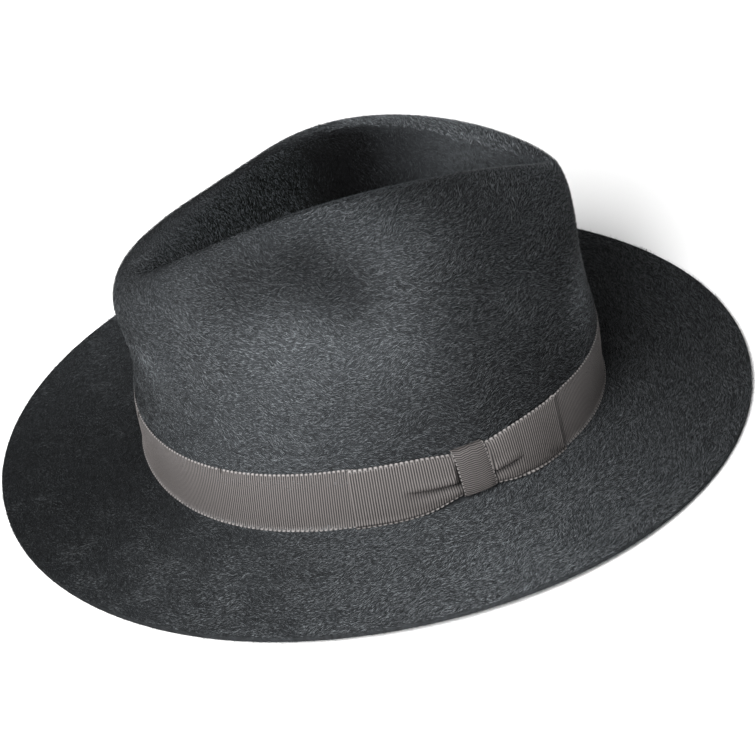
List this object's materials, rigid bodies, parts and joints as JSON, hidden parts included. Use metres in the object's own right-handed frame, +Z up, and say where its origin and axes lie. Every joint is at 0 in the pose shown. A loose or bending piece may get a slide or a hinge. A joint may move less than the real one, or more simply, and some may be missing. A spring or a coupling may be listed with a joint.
{
  "type": "fedora hat",
  "caption": "Brushed felt hat with a creased and pinched crown, a nearly flat cut-edge brim, a ribbon with a flat side bow, a leather sweatband and a satin lining.",
  "frame": {"origin": "on the ground under the middle of the brim, where the hat stands on its brim", "axes": "+Z up through the crown, -Y to the front of the hat, +X to the wearer's left, where the bow is"},
  "size_m": [0.3072, 0.34, 0.1324],
  "materials": {
    "felt": "brushed long-nap wool felt, charcoal with a blue-green cast",
    "ribbon": "ribbed taupe-grey grosgrain",
    "thread": "dark sewing thread",
    "leather": "smooth dark leather, satin",
    "reed": "matt extruded reed",
    "tape": "woven cotton tape",
    "satin": "lining satin with a soft sheen",
    "piping": "satin-covered cord",
    "label": "woven label"
  },
  "bodies": {
    "root": {"felt_body": "felt", "hatband_ribbon": "ribbon", "hatband_tack_stitches": "thread", "bow_front_loop": "ribbon", "bow_rear_loop": "ribbon", "bow_knot": "ribbon", "bow_tack_stitches": "thread", "sweatband_leather": "leather", "sweatband_reed": "reed", "sweatband_tape": "tape", "sweatband_seam_stitches": "thread", "sweatband_back_stitches": "thread", "sweatband_bow": "satin", "lining_side": "satin", "lining_tip": "satin", "lining_piping": "piping", "size_label": "label"}
  },
  "joints": []
}
